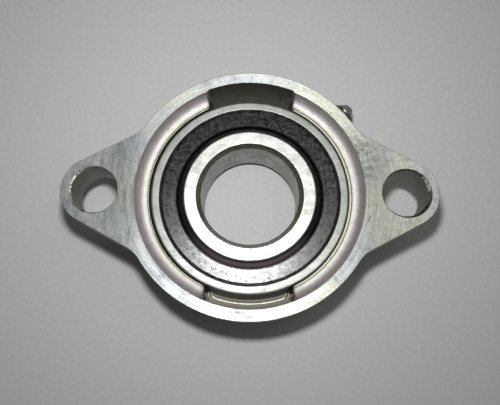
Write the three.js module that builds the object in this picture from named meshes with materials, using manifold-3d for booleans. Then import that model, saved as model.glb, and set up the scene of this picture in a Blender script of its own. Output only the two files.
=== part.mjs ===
// Two-bolt oval flange housing with a sealed ball bearing insert that swivels in a spherical seat.
// Millimetres, +Z up. The unit lies on the front rim of its hub, so the mounting face looks up.
// The origin is on the bearing axis at the level of the front rim; the two bolt holes lie along X.
import * as THREE from "three";
import { mergeVertices } from "three/addons/utils/BufferGeometryUtils.js";
import Module from "manifold-3d";

// Housing
const HEIGHT = 19.5; // front rim to mounting face
const BOLT_SPACING = 76.5;
const BOLT_HOLE_R = 5.9;
const BOLT_HOLE_CHAMFER = 0.5;
const EAR_TIP_R = 8.5; // round end of an ear, concentric with its bolt hole
const EAR_SIDE_ANGLE = 28; // straight side of an ear to X, degrees
const EAR_FILLET_R = 9; // where an ear's side runs into the body circle
const FLANGE_THICKNESS = 10.5;
const FLANGE_EDGE_R = 1.2; // cast rounding round the front of the flange
const BODY_R = 31.5;
const HUB_TOP_R = 31.2;
const HUB_RIM_R = 28.6;
const RECESS_R = 28.45;
const RECESS_FLOOR_Z = 16.1;
const RECESS_FILLET_R = 2.6;
const SEAT_R = 26.2;
const SLOT_HALF_WIDTH = 10.1;
const SLOT_CORNER_R = 1.8;
const SLOT_FOOT_R = 27.0; // outer wall of a loading slot at its floor
// The slot towards +Y comes first: it is the deeper and the wider one.
const SLOT_FLOOR_Z = [8.5, 12.3];
const SLOT_MOUTH_R = [28.8, 28.2]; // outer wall at the mounting face

// Bearing insert: 25 mm bore, 52 mm spherical outside, 15 mm wide, faces flush
const CENTRE_Z = 8.5;
const HALF_WIDTH = 7.5;
const SPHERE_R = 26.0;
const OUTER_FACE_R = 24.68;
const OUTER_FACE_INNER_R = 22.9;
const OUTER_LAND_R = 22.0;
const INNER_FACE_R = 16.61;
const INNER_LAND_R = 17.2;
const BORE_R = 12.5;
const BORE_CHAMFER = 1.1;
const BALL_COUNT = 9;
const BALL_R = 3.969;
const PITCH_R = 19.52; // circle through the ball centres
const GROOVE_R = 4.15; // cross-section of both raceways
const RACE_CLEARANCE = 0.12;
const GREASE_GROOVE_Z = [-4.6, -3.2]; // groove round the outer ring, below the centre
const GREASE_GROOVE_DEPTH = 0.4;
const GREASE_HOLE_R = 0.7;

// Ribbon cage: two pressed halves, riveted between the balls
const CAGE_IN_R = 18.25;
const CAGE_OUT_R = 20.85;
const CAGE_THICKNESS = 0.8;
const CAGE_HALF_GAP = 0.05;
const POCKET_R = 4.15;
const RIVET_R = 0.6;
const RIVET_HEAD_R = 1.05;
const RIVET_HEAD_THICKNESS = 0.4;

// Grease nipple, screwed into a boss on the hub
const NIPPLE_AZIMUTH = 45.3; // degrees from +X
const NIPPLE_Z = 5.5;
const BOSS_R = 4.8;
const BOSS_FACE_R = 31.3; // flat end of the boss, from the bearing axis
const THREAD_R = 2.9;
const THREAD_HOLE_R = 3.1;
const THREAD_HOLE_DEPTH = 4.7;
const PASSAGE_R = 1.4;
const HEX_APOTHEM = 3.5;
const HEX_SPAN = [0.2, 3.2];
const CHECK_BALL_R = 1.2;
const CHECK_BALL_T = 5.97; // its centre along the nipple, from the boss face
const SPRING_SPAN = [-3.7, 5.1];
const SPRING_R = 1.05;
const SPRING_WIRE_R = 0.17;
const SPRING_TURNS = 6;

// Facets round a full turn
const HOUSING_SIDES = 72;
const RING_SIDES = 60;
const SEAL_SIDES = 48;
const SMALL_SIDES = 18;

const wasm = await Module();
wasm.setup();
const rad = THREE.MathUtils.degToRad;

// A three.js geometry as a manifold solid.
function solidOf(geometry) {
  const bare = new THREE.BufferGeometry();
  const plain = geometry.index ? geometry.toNonIndexed() : geometry;
  bare.setAttribute("position", plain.getAttribute("position"));
  const merged = mergeVertices(bare, 1e-4);
  return new wasm.Manifold(
    new wasm.Mesh({
      numProp: 3,
      vertProperties: merged.attributes.position.array,
      triVerts: new Uint32Array(merged.index.array),
    }),
  );
}

// A manifold solid as a three.js geometry.
function geometryOf(solid) {
  const mesh = solid.getMesh();
  const points = new Float32Array(mesh.numVert * 3);
  for (let i = 0; i < mesh.numVert; i++) {
    points.set(mesh.vertProperties.subarray(i * mesh.numProp, i * mesh.numProp + 3), i * 3);
  }
  const geometry = new THREE.BufferGeometry();
  geometry.setAttribute("position", new THREE.BufferAttribute(points, 3));
  geometry.setIndex(new THREE.BufferAttribute(new Uint32Array(mesh.triVerts), 1));
  return geometry;
}

function union(solids) {
  return solids.reduce((sum, next) => sum.add(next));
}

function cutAll(solid, tools) {
  return tools.reduce((rest, tool) => rest.subtract(tool), solid);
}

// Points [r, z] along an arc, angles in degrees.
function arc(r0, z0, radius, from, to, steps) {
  return Array.from({ length: steps + 1 }, (_, i) => {
    const a = rad(from + ((to - from) * i) / steps);
    return [r0 + radius * Math.cos(a), z0 + radius * Math.sin(a)];
  });
}

// A closed [r, z] profile turned about Z; the profile runs up its outer side.
function revolve(profile, sides) {
  const points = [...profile, profile[0]].map(([r, z]) => new THREE.Vector2(r, z));
  return new THREE.LatheGeometry(points, sides).rotateX(Math.PI / 2);
}

// A solid of revolution whose profile starts and ends on Z.
function spindle(profile, sides) {
  const points = profile.map(([r, z]) => new THREE.Vector2(r, z));
  return new THREE.LatheGeometry(points, sides).rotateX(Math.PI / 2);
}

function rod(radius, z0, z1, sides) {
  return spindle([[0, z0], [radius, z0], [radius, z1], [0, z1]], sides);
}

function raise(profile, dz) {
  return profile.map(([r, z]) => [r, z + dz]);
}

// A profile that is the same above and below z = 0, from its upper half listed from top to middle.
function mirrored(upper) {
  return [...upper, ...upper.map(([r, z]) => [r, -z]).reverse()];
}

// Moves a shape built along Z so that it points outwards at an azimuth, starting at radius r.
function pointOut(geometry, azimuth, r, z) {
  const a = rad(azimuth);
  return geometry
    .rotateY(Math.PI / 2)
    .rotateZ(a)
    .translate(r * Math.cos(a), r * Math.sin(a), z);
}

// Outline of the flange: body circle, two ears and the fillets between them.
function flangeOutline() {
  const bolt = BOLT_SPACING / 2;
  const normal = 90 - EAR_SIDE_ANGLE;
  const side = bolt * Math.cos(rad(normal)) + EAR_TIP_R; // straight side to the bearing axis
  const swing = Math.acos((side + EAR_FILLET_R) / (BODY_R + EAR_FILLET_R));
  const meet = normal - THREE.MathUtils.radToDeg(swing);
  const fillet = BODY_R + EAR_FILLET_R;
  const fx = fillet * Math.cos(rad(meet));
  const fy = fillet * Math.sin(rad(meet));
  const quarter = [
    ...arc(bolt, 0, EAR_TIP_R, 0, normal, 7),
    ...arc(fx, fy, EAR_FILLET_R, normal - 180, meet - 180, 4),
    ...arc(0, 0, BODY_R, meet, 90, 9).slice(1),
  ];
  const top = [...quarter, ...quarter.slice(0, -1).map(([x, y]) => [-x, y]).reverse()];
  const below = top.slice(1, -1).map(([x, y]) => [x, -y]).reverse();
  return [...top, ...below];
}

function flangePlate() {
  const shape = new THREE.Shape(flangeOutline().map(([x, y]) => new THREE.Vector2(x, y)));
  const plate = new THREE.ExtrudeGeometry(shape, {
    depth: FLANGE_THICKNESS,
    bevelThickness: FLANGE_EDGE_R,
    bevelSize: FLANGE_EDGE_R,
    bevelOffset: -FLANGE_EDGE_R,
    bevelSegments: 2,
  });
  const tall = solidOf(plate.translate(0, 0, HEIGHT - FLANGE_THICKNESS + FLANGE_EDGE_R));
  return tall.subtract(solidOf(rod(80, HEIGHT, HEIGHT + 10, 4)));
}

function hub() {
  const top = HEIGHT - FLANGE_THICKNESS + 3;
  const profile = [
    [0, 0],
    [HUB_RIM_R, 0],
    [HUB_RIM_R + 0.8, 0.3],
    [HUB_RIM_R + 1.25, 1.2],
    [HUB_TOP_R - 0.4, top - 4.2],
    [HUB_TOP_R, top - 3],
    [HUB_TOP_R, top],
    [0, top],
  ];
  return solidOf(spindle(profile, HOUSING_SIDES));
}

function nippleBoss() {
  return solidOf(pointOut(rod(BOSS_R, -8, 0, SMALL_SIDES), NIPPLE_AZIMUTH, BOSS_FACE_R, NIPPLE_Z));
}

// Recess in the mounting face, spherical seat and front mouth, as one turned cut.
function seatCut() {
  const start = THREE.MathUtils.radToDeg(Math.asin(CENTRE_Z / SEAT_R));
  const lip = THREE.MathUtils.radToDeg(Math.asin((RECESS_FLOOR_Z - CENTRE_Z) / SEAT_R));
  const arcR = RECESS_R - RECESS_FILLET_R;
  const arcZ = RECESS_FLOOR_Z + RECESS_FILLET_R;
  const profile = [
    [0, -1],
    [SEAT_R * Math.cos(rad(start)), -1],
    ...arc(0, CENTRE_Z, SEAT_R, -start, lip, 7),
    ...arc(arcR, arcZ, RECESS_FILLET_R, -90, 0, 4),
    [RECESS_R, HEIGHT - 0.25],
    [RECESS_R + 0.25, HEIGHT],
    [RECESS_R + 0.25, HEIGHT + 1],
    [0, HEIGHT + 1],
  ];
  return solidOf(spindle(profile, HOUSING_SIDES));
}

// Outline of a loading slot at one level: straight sides, rounded corners, arc at the outer wall.
function slotOutline(outer, half, corner) {
  const rim = outer - corner;
  const side = half - corner;
  const bend = 90 - THREE.MathUtils.radToDeg(Math.asin(side / rim));
  const cy = rim * Math.sin(rad(bend));
  const right = arc(side, cy, corner, 0, bend, 3);
  const roof = arc(0, 0, outer, bend, 180 - bend, 8).slice(1, -1);
  const left = right.map(([x, y]) => [-x, y]).reverse();
  return [[half, 15], ...right, ...roof, ...left, [-half, 15]];
}

// A solid between two outlines that have the same number of points.
function loft(low, z0, high, z1) {
  const count = low.length;
  const at = (ring, i, z) => [ring[i % count][0], ring[i % count][1], z];
  const lowFaces = THREE.ShapeUtils.triangulateShape(low.map((p) => new THREE.Vector2(...p)), []);
  const triangles = [];
  for (let i = 0; i < count; i++) {
    triangles.push(at(low, i, z0), at(low, i + 1, z0), at(high, i + 1, z1));
    triangles.push(at(low, i, z0), at(high, i + 1, z1), at(high, i, z1));
  }
  for (const [a, b, c] of lowFaces) {
    triangles.push(at(low, c, z0), at(low, b, z0), at(low, a, z0));
    triangles.push(at(high, a, z1), at(high, b, z1), at(high, c, z1));
  }
  const geometry = new THREE.BufferGeometry();
  geometry.setAttribute("position", new THREE.Float32BufferAttribute(triangles.flat(), 3));
  return geometry;
}

function slotCuts() {
  const low = slotOutline(SLOT_FOOT_R, SLOT_HALF_WIDTH - 0.3, SLOT_CORNER_R);
  return SLOT_MOUTH_R.map((mouth, i) => {
    const high = slotOutline(mouth, SLOT_HALF_WIDTH + 0.6, SLOT_CORNER_R);
    return solidOf(loft(low, SLOT_FLOOR_Z[i], high, HEIGHT + 0.5).rotateZ(i * Math.PI));
  });
}

function boltHoleCuts() {
  const foot = HEIGHT - FLANGE_THICKNESS;
  const c = BOLT_HOLE_CHAMFER;
  const profile = [
    [0, foot - 1],
    [BOLT_HOLE_R + c, foot - 1],
    [BOLT_HOLE_R + c, foot],
    [BOLT_HOLE_R, foot + c],
    [BOLT_HOLE_R, HEIGHT - c],
    [BOLT_HOLE_R + c, HEIGHT],
    [BOLT_HOLE_R + c, HEIGHT + 1],
    [0, HEIGHT + 1],
  ];
  return [-1, 1].map((s) => solidOf(spindle(profile, 40).translate((s * BOLT_SPACING) / 2, 0, 0)));
}

function nippleHoleCuts() {
  const thread = rod(THREAD_HOLE_R, -THREAD_HOLE_DEPTH, 2, SMALL_SIDES);
  const passage = rod(PASSAGE_R, -8, -THREAD_HOLE_DEPTH + 0.5, 12);
  return [thread, passage].map((g) => solidOf(pointOut(g, NIPPLE_AZIMUTH, BOSS_FACE_R, NIPPLE_Z)));
}

function housing() {
  const body = union([flangePlate(), hub(), nippleBoss()]);
  return cutAll(body, [seatCut(), ...slotCuts(), ...boltHoleCuts(), ...nippleHoleCuts()]);
}

// Outer ring: spherical outside with a grease groove, raceway and a seal groove at each face.
function outerRing() {
  const [grooveLow, grooveHigh] = GREASE_GROOVE_Z;
  const angleAt = (z) => THREE.MathUtils.radToDeg(Math.asin(z / SPHERE_R));
  const edge = HALF_WIDTH - 0.3;
  const bed = SPHERE_R - GREASE_GROOVE_DEPTH - 0.3;
  const outside = [
    ...arc(0, 0, SPHERE_R, angleAt(-edge), angleAt(grooveLow), 1),
    [bed, grooveLow + 0.1],
    [bed, grooveHigh - 0.1],
    ...arc(0, 0, SPHERE_R, angleAt(grooveHigh), angleAt(edge), 5),
  ];
  const grooveR = PITCH_R + BALL_R + RACE_CLEARANCE - GROOVE_R;
  const shoulder = THREE.MathUtils.radToDeg(Math.acos((OUTER_LAND_R - grooveR) / GROOVE_R));
  const inside = mirrored([
    [OUTER_FACE_R, HALF_WIDTH],
    [OUTER_FACE_INNER_R, HALF_WIDTH],
    [22.75, 6.9],
    [23.55, 6.6],
    [23.55, 5.75],
    [OUTER_LAND_R, 5.35],
    ...arc(grooveR, 0, GROOVE_R, shoulder, 0, 3).slice(0, -1),
  ]);
  inside.splice(inside.length / 2, 0, [grooveR + GROOVE_R, 0]);
  const ring = solidOf(revolve(raise([...outside, ...inside], CENTRE_Z), RING_SIDES));
  const z = CENTRE_Z + (GREASE_GROOVE_Z[0] + GREASE_GROOVE_Z[1]) / 2 - 0.3;
  return ring.subtract(solidOf(pointOut(rod(GREASE_HOLE_R, -6, 2, 10), NIPPLE_AZIMUTH, SPHERE_R, z)));
}

// Inner ring: raceway, a seal lip groove at each face, and a chamfered bore.
function innerRing() {
  const grooveR = PITCH_R - BALL_R - RACE_CLEARANCE + GROOVE_R;
  const shoulder = THREE.MathUtils.radToDeg(Math.acos((grooveR - INNER_LAND_R) / GROOVE_R));
  const race = arc(grooveR, 0, GROOVE_R, 180 - shoulder, 180, 3).slice(0, -1);
  const upper = [
    [BORE_R, HALF_WIDTH - BORE_CHAMFER],
    [BORE_R + BORE_CHAMFER, HALF_WIDTH],
    [INNER_FACE_R, HALF_WIDTH],
    [16.85, HALF_WIDTH - 0.3],
    [16.85, 5.75],
    [16.45, 5.5],
    [16.45, 4.75],
    [INNER_LAND_R, 4.45],
    ...race,
  ];
  const loop = mirrored(upper);
  loop.splice(upper.length, 0, [grooveR - GROOVE_R, 0]);
  return revolve(raise(loop.reverse(), CENTRE_Z), SEAL_SIDES);
}

// Rubber seal above the centre: bead in the outer ring, face, and lip towards the inner ring.
function seal() {
  const profile = [
    [16.68, 4.95],
    [18.3, 5.45],
    [18.7, 5.98],
    [22.5, 5.98],
    [22.75, 5.85],
    [23.35, 6.0],
    [23.35, 6.4],
    [22.6, 6.45],
    [22.35, 6.95],
    [18.5, 6.95],
    [18.25, 6.75],
    [18.1, 6.15],
    [16.68, 5.35],
  ];
  return revolve(profile, SEAL_SIDES);
}

// Steel washer that stiffens a seal, on its inner side.
function sealWasher() {
  return revolve([[18.95, 5.55], [22.0, 5.55], [22.3, 5.9], [18.95, 5.9]], SEAL_SIDES);
}

// Turns a piece built above the bearing centre over to the other side, if asked, and lifts it there.
function onSide(geometry, side) {
  const turned = side > 0 ? geometry : geometry.rotateX(Math.PI);
  return turned.translate(0, 0, CENTRE_Z);
}

function ballAzimuths() {
  return Array.from({ length: BALL_COUNT }, (_, i) => (360 / BALL_COUNT) * i);
}

function bearingBall(azimuth) {
  const profile = arc(0, 0, BALL_R, -90, 90, 8);
  profile[0][0] = 0;
  profile[8][0] = 0;
  const a = rad(azimuth);
  return spindle(profile, 12).translate(PITCH_R * Math.cos(a), PITCH_R * Math.sin(a), CENTRE_Z);
}

// One pressed half of the cage, above the centre: flats between the balls, arches over them.
function cageHalf() {
  const band = (z0, z1) => [[CAGE_IN_R, z0], [CAGE_OUT_R, z0], [CAGE_OUT_R, z1], [CAGE_IN_R, z1]];
  const across = (radius, azimuth) => pointOut(rod(radius, -4, 4, 12), azimuth, PITCH_R, 0);
  const arches = ballAzimuths().map((a) => solidOf(across(POCKET_R + CAGE_THICKNESS, a)));
  const pockets = ballAzimuths().map((a) => solidOf(across(POCKET_R, a)));
  const tall = solidOf(revolve(band(CAGE_HALF_GAP, 6), 36)).intersect(union(arches));
  const flat = solidOf(revolve(band(CAGE_HALF_GAP, CAGE_HALF_GAP + CAGE_THICKNESS), 36));
  const holes = rivetCentres().map(([x, y]) => solidOf(rod(RIVET_R + 0.15, -1, 2, 8).translate(x, y, 0)));
  return geometryOf(cutAll(tall.add(flat), [...pockets, ...holes]));
}

function rivetCentres() {
  const r = (CAGE_IN_R + CAGE_OUT_R) / 2;
  return ballAzimuths().map((azimuth) => {
    const a = rad(azimuth + 180 / BALL_COUNT);
    return [r * Math.cos(a), r * Math.sin(a)];
  });
}

function rivet([x, y]) {
  const seat = CAGE_HALF_GAP + CAGE_THICKNESS + 0.05;
  const top = seat + RIVET_HEAD_THICKNESS;
  const profile = [
    [0, -top],
    [RIVET_HEAD_R, -seat],
    [RIVET_R, -seat],
    [RIVET_R, seat],
    [RIVET_HEAD_R, seat],
    [0, top],
  ];
  return spindle(profile, 8).translate(x, y, CENTRE_Z);
}

// Grease nipple along Z, boss face at zero: threaded stub, hexagon, neck, head and a bore for the valve.
function nippleBody() {
  const profile = [
    [1.05, -4.3],
    [2.6, -4.3],
    [THREAD_R, -4.0],
    [THREAD_R, 3.2],
    [2.3, 3.9],
    [2.3, 4.4],
    [3.2, 5.1],
    [3.25, 5.5],
    [1.7, 7.2],
    [1.5, 7.7],
    [0.75, 7.7],
    [0.75, 7.0],
    [1.5, 6.2],
    [1.5, -3.9],
    [1.05, -4.05],
  ];
  const corner = HEX_APOTHEM / Math.cos(Math.PI / 6);
  const [low, high] = HEX_SPAN;
  const hexagon = solidOf(rod(corner, low, high, 6));
  const rounding = [
    [0, low - 1],
    [corner - 0.4, low - 1],
    [corner, low + 0.5],
    [corner, high - 0.5],
    [corner - 0.6, high],
    [0, high],
  ];
  const hex = hexagon.intersect(solidOf(spindle(rounding, SMALL_SIDES)));
  const hollow = rod(2, low - 1, high + 1, SMALL_SIDES);
  return geometryOf(solidOf(revolve(profile, SMALL_SIDES)).add(hex.subtract(solidOf(hollow))));
}

function checkBall() {
  const profile = arc(0, 0, CHECK_BALL_R, -90, 90, 6);
  profile[0][0] = 0;
  profile[6][0] = 0;
  return spindle(profile, 10).translate(0, 0, CHECK_BALL_T);
}

class Helix extends THREE.Curve {
  getPoint(t, target = new THREE.Vector3()) {
    const a = t * SPRING_TURNS * 2 * Math.PI;
    const z = THREE.MathUtils.lerp(SPRING_SPAN[0], SPRING_SPAN[1], t);
    return target.set(SPRING_R * Math.cos(a), SPRING_R * Math.sin(a), z);
  }
}

function checkSpring() {
  const wire = new THREE.Shape().absarc(0, 0, SPRING_WIRE_R, 0, 2 * Math.PI);
  const options = {
    steps: SPRING_TURNS * 7,
    curveSegments: 3,
    bevelEnabled: false,
    extrudePath: new Helix(),
  };
  return new THREE.ExtrudeGeometry(wire, options);
}

function material(color, roughness, metalness) {
  return new THREE.MeshStandardMaterial({ color, roughness, metalness });
}

const castMetal = material(0xc9ccc8, 0.45, 0.9);
const ringSteel = material(0xd6d6d4, 0.25, 1);
const ballSteel = material(0xe4e4e4, 0.1, 1);
const pressedSteel = material(0xb4b4b0, 0.4, 1);
const rubber = material(0x1c1c1d, 0.7, 0);
const nippleSteel = material(0x55564f, 0.35, 1);

const flangeUnit = new THREE.Group();

function addPiece(name, geometry, look) {
  const mesh = new THREE.Mesh(geometry, look);
  mesh.name = name;
  flangeUnit.add(mesh);
}

function addHousing() {
  addPiece("housing", geometryOf(housing()), castMetal);
  const out = (geometry) => pointOut(geometry, NIPPLE_AZIMUTH, BOSS_FACE_R, NIPPLE_Z);
  addPiece("nipple_body", out(nippleBody()), nippleSteel);
  addPiece("nipple_check_ball", out(checkBall()), ballSteel);
  addPiece("nipple_spring", out(checkSpring()), pressedSteel);
}

function addInsert() {
  addPiece("outer_ring", geometryOf(outerRing()), ringSteel);
  addPiece("inner_ring", innerRing(), ringSteel);
  for (const [side, word] of [[1, "back"], [-1, "front"]]) {
    addPiece("seal_" + word, onSide(seal(), side), rubber);
    addPiece("seal_washer_" + word, onSide(sealWasher(), side), pressedSteel);
    addPiece("cage_" + word, onSide(cageHalf(), side), pressedSteel);
  }
  ballAzimuths().forEach((azimuth, i) => addPiece("ball_" + (i + 1), bearingBall(azimuth), ballSteel));
  rivetCentres().forEach((centre, i) => addPiece("cage_rivet_" + (i + 1), rivet(centre), pressedSteel));
}

addHousing();
addInsert();

export default flangeUnit;
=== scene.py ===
import math

import bmesh
import bpy
from mathutils import Matrix, Vector


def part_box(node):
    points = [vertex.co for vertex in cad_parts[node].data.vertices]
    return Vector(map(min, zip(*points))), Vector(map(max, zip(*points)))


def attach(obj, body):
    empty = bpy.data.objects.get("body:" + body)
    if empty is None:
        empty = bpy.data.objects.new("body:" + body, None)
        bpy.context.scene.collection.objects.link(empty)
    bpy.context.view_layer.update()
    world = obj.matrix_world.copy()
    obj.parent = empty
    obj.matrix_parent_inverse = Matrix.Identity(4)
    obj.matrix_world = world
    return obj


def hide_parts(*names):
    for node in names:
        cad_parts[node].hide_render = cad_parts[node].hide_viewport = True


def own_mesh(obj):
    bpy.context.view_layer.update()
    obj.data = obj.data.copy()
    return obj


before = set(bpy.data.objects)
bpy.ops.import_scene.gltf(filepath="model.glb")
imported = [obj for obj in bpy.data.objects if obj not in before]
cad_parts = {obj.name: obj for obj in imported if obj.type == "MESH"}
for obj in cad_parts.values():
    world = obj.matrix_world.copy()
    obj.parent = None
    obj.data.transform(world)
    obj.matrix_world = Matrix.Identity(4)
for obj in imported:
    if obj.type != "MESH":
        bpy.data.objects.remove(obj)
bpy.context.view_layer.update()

# Lengths are in millimetres and angles in degrees unless they say otherwise. MM turns them into metres.
MM = 0.001

# Housing
HEIGHT = 19.5
BOLT_X = 38.25
BOLT_HOLE_R = 5.8
SINK_SLOPE = 0.6
SINKS = [(-BOLT_X, -0.22, 0.22), (BOLT_X, 0.4, 0.42)]  # hole centre, shift of the countersink, its reach
EAR_TIP_R = 8.5
EAR_NORMAL = 62.0  # from +X to the normal of an ear's straight side
EAR_FILLET_R = 9.0
FLANGE_THICKNESS = 10.5
FLANGE_ROUND = 1.3
TOP_BREAK = [(0, 0.28), (0.06, 0.12), (0.2, 0)]  # inset and depth of the top edge's small round
EDGE_BEVEL = 0.1
BODY_R = 31.5
RECESS_R = 28.45
RECESS_FLOOR_Z = 16.1
RECESS_FILLET_R = 2.6
SEAT_R = 26.15
LIP_R = 25.24
LIP_LOW_Z = 14.6
LIP_SHIFT = (-0.2, -0.04)
GAP_GROOVE = (25.56, 25.76)
GAP_GROOVE_DEPTH = 0.16
SLOT_HALF_WIDTH = 10.1
SLOT_CORNER_R = 1.8
SLOT_FOOT_ROUND = 0.5
SLOT_FOOT_R = (27.0, 27.35)  # first the slot towards +Y, then the one towards -Y
SLOT_FLOOR_Z = (8.5, 12.3)  # the slot towards +Y is the deeper one
SLOT_MOUTH_R = (28.8, 28.1)  # the slot towards +Y breaks the recess edge, the other stops short of it
SLOT_FLARE = [  # height and how far a side stands out there
    (9.4, -0.25), (10.4, -0.2), (11.4, -0.15), (12.9, -0.1), (13.5, -0.05), (14.2, 0.05), (15.0, 0.3),
    (15.8, 0.65), (16.3, 1.0), (17.2, 1.3), (18.4, 1.45), (20, 1.6),
]
# Painted shade: the range across which the bored recess darkens towards a slot.
SLOT_SIDE_SHADE_X = (11.8, 10.5)  # where the bored recess darkens towards a slot
SLOT_Y = 15.0  # anything further out along Y, within a slot's width, belongs to a slot

# Insert
CENTRE_Z = 8.5
HALF_WIDTH = 7.5
SPHERE_R = 26.0
BORE_R = 12.5
CHAMFER_R = 13.6  # where the bore's chamfers meet the faces
BALL_R = 3.969
BALL_COUNT = 9
PITCH_R = 19.52
GROOVE_R = 4.1
RACE_GAP = 0.05
OUTER_SHOULDER_R = 22.0
INNER_SHOULDER_R = 17.2
OIL_HOLE_DROP = 4.2  # from the insert's middle down to the outer ring's grease hole
SEAL_LIP_R = (19.0, 18.65)
CAGE_IN_R, CAGE_OUT_R = 18.25, 20.85
CAGE_THICKNESS = 0.8
CAGE_GAP = 0.05
CAGE_POCKET_R = 4.15
CAGE_STEPS = BALL_COUNT * 48

# Grease nipple
NIPPLE_AZIMUTH = 45.3
NIPPLE_Z = 5.5
BOSS_R = 4.8
BOSS_FACE_R = 31.3
THREAD_HOLE_R = 3.1
PASSAGE_R = 1.4
HEX_APOTHEM = 3.5
HEX_LOW, HEX_HIGH = 0.2, 3.2
CHECK_BALL_R = 1.2
SPRING_LENGTH = 8.8

# Sides of turned pieces
FINE = 256
MEDIUM = 160
SMALL = 64

# Camera and light
CAMERA_TILT = 12.86  # from the bearing's axis
CAMERA_ROLL = -0.67
CAMERA_DISTANCE = 136.8
CAMERA_SHIFT = (-0.04, 2.745)
CAMERA_LENS = 40.12
SKY_LOW, SKY_HIGH = 0.03, 0.26
SKY_TOWARDS = (0.5, 0.2, 0.84)
SKY_SPREAD = (0.4, 1.0)
HORIZON = 0.3
HORIZON_BAND = (0.05, 0.5)

# The housing's materials, in the order of its slots
MACHINED, CAST, BORED, SUNK, GAP_SHADE, SLOT_FLOOR = range(6)


# ---------------------------------------------------------------- geometry helpers

def rad(degrees):
    return math.radians(degrees)


def arc(cx, cy, radius, start, end, steps):
    """Points along an arc, angles in degrees."""
    turns = [rad(start + (end - start) * i / steps) for i in range(steps + 1)]
    return [(cx + radius * math.cos(t), cy + radius * math.sin(t)) for t in turns]


def eased(points, steps=4):
    """A closed loop of (x, y, ease) corners; a corner with ease is rounded, starting that far from it."""
    out = []
    count = len(points)
    for i, (x, y, ease) in enumerate(points):
        if ease <= 0:
            out.append((x, y))
            continue
        here = Vector((x, y))
        before = Vector(points[i - 1][:2]) - here
        after = Vector(points[(i + 1) % count][:2]) - here
        a = here + before.normalized() * min(ease, before.length * 0.45)
        b = here + after.normalized() * min(ease, after.length * 0.45)
        for k in range(steps + 1):
            t = k / steps
            p = a * (1 - t) ** 2 + here * 2 * t * (1 - t) + b * t * t
            out.append((p.x, p.y))
    return out


def half_circle(radius, steps):
    """An (r, z) half circle from pole to pole, with both ends exactly on Z."""
    points = arc(0, 0, radius, -90, 90, steps)
    return [(0, -radius)] + points[1:-1] + [(0, radius)]


def sharp(points):
    """Plain (x, y) points as corners without easing."""
    return [(x, y, 0) for x, y in points]


def mirrored(upper):
    """The lower half of an (r, z, ease) profile that is the same above and below z = 0."""
    return [(r, -z, ease) for r, z, ease in reversed(upper)]


def new_object(name, verts, faces):
    mesh = bpy.data.meshes.new(name)
    mesh.from_pydata([tuple(c * MM for c in v) for v in verts], [], faces)
    mesh.validate()
    obj = bpy.data.objects.new(name, mesh)
    bpy.context.scene.collection.objects.link(obj)
    face_outwards(obj)
    return obj


def face_outwards(obj):
    """Merges doubled points and turns every face outwards."""
    bm = bmesh.new()
    bm.from_mesh(obj.data)
    bmesh.ops.remove_doubles(bm, verts=bm.verts[:], dist=1e-8)
    bmesh.ops.recalc_face_normals(bm, faces=bm.faces[:])
    bm.to_mesh(obj.data)
    bm.free()


def smooth(obj, angle=30):
    """Smooth shading, with edges sharper than the angle kept sharp."""
    obj.data.shade_smooth()
    obj.data.set_sharp_from_angle(angle=rad(angle))


def flat_faces(obj):
    """Keeps wide flats flat next to their rounded edges."""
    step = obj.modifiers.new("flat", "WEIGHTED_NORMAL")
    step.keep_sharp = True
    return obj


def turned(name, profile, sides, lift=0.0):
    """A closed (r, z) profile turned about Z."""
    verts, faces = [], []
    count = len(profile)
    for i in range(sides):
        a = 2 * math.pi * i / sides
        verts += [(r * math.cos(a), r * math.sin(a), z + lift) for r, z in profile]
    for i in range(sides):
        here, there = i * count, (i + 1) % sides * count
        for j in range(count):
            k = (j + 1) % count
            faces.append((here + j, there + j, there + k, here + k))
    obj = new_object(name, verts, faces)
    smooth(obj)
    return obj


def spindle(name, profile, sides):
    """An (r, z) profile that starts and ends on Z, turned about it."""
    verts = [(0, 0, profile[0][1])]
    faces = []
    rings = profile[1:-1]
    for r, z in rings:
        for i in range(sides):
            a = 2 * math.pi * i / sides
            verts.append((r * math.cos(a), r * math.sin(a), z))
    top = len(verts)
    verts.append((0, 0, profile[-1][1]))
    for i in range(sides):
        k = (i + 1) % sides
        faces.append((0, 1 + k, 1 + i))
        last = 1 + (len(rings) - 1) * sides
        faces.append((top, last + i, last + k))
        for j in range(len(rings) - 1):
            low, high = 1 + j * sides, 1 + (j + 1) * sides
            faces.append((low + i, low + k, high + k, high + i))
    obj = new_object(name, verts, faces)
    smooth(obj)
    return obj


def rod(name, radius, z0, z1, sides):
    """A plain round bar along Z."""
    return spindle(name, [(0, z0), (radius, z0), (radius, z1), (0, z1)], sides)


def stacked(name, rings):
    """A solid through rings [(points, z), ...] with the same number of points each, capped at both ends."""
    count = len(rings[0][0])
    verts = [(x, y, z) for points, z in rings for x, y in points]
    faces = [tuple(reversed(range(count)))]
    for level in range(len(rings) - 1):
        low, high = level * count, (level + 1) * count
        for i in range(count):
            k = (i + 1) % count
            faces.append((low + i, low + k, high + k, high + i))
    end = (len(rings) - 1) * count
    faces.append(tuple(range(end, end + count)))
    return new_object(name, verts, faces)


def move(obj, matrix):
    obj.data.transform(matrix)
    return obj


def placed_at(obj, x, y, z):
    return move(obj, Matrix.Translation(Vector((x, y, z)) * MM))


def point_out(obj, azimuth, r, z):
    """Turns a shape built along Z so that it points outwards at an azimuth, its origin at radius r."""
    a = rad(azimuth)
    place = Matrix.Translation(Vector((r * math.cos(a), r * math.sin(a), z)) * MM)
    return move(obj, place @ Matrix.Rotation(a, 4, "Z") @ Matrix.Rotation(math.pi / 2, 4, "Y"))


def boolean(target, tool, operation):
    """Applies one boolean and deletes the tool."""
    step = target.modifiers.new("cut", "BOOLEAN")
    step.operation = operation
    step.solver = "EXACT"
    step.object = tool
    done = target.evaluated_get(bpy.context.evaluated_depsgraph_get())
    mesh = bpy.data.meshes.new_from_object(done)
    target.modifiers.clear()
    target.data = mesh
    bpy.data.objects.remove(tool)


# ---------------------------------------------------------------- housing

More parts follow.
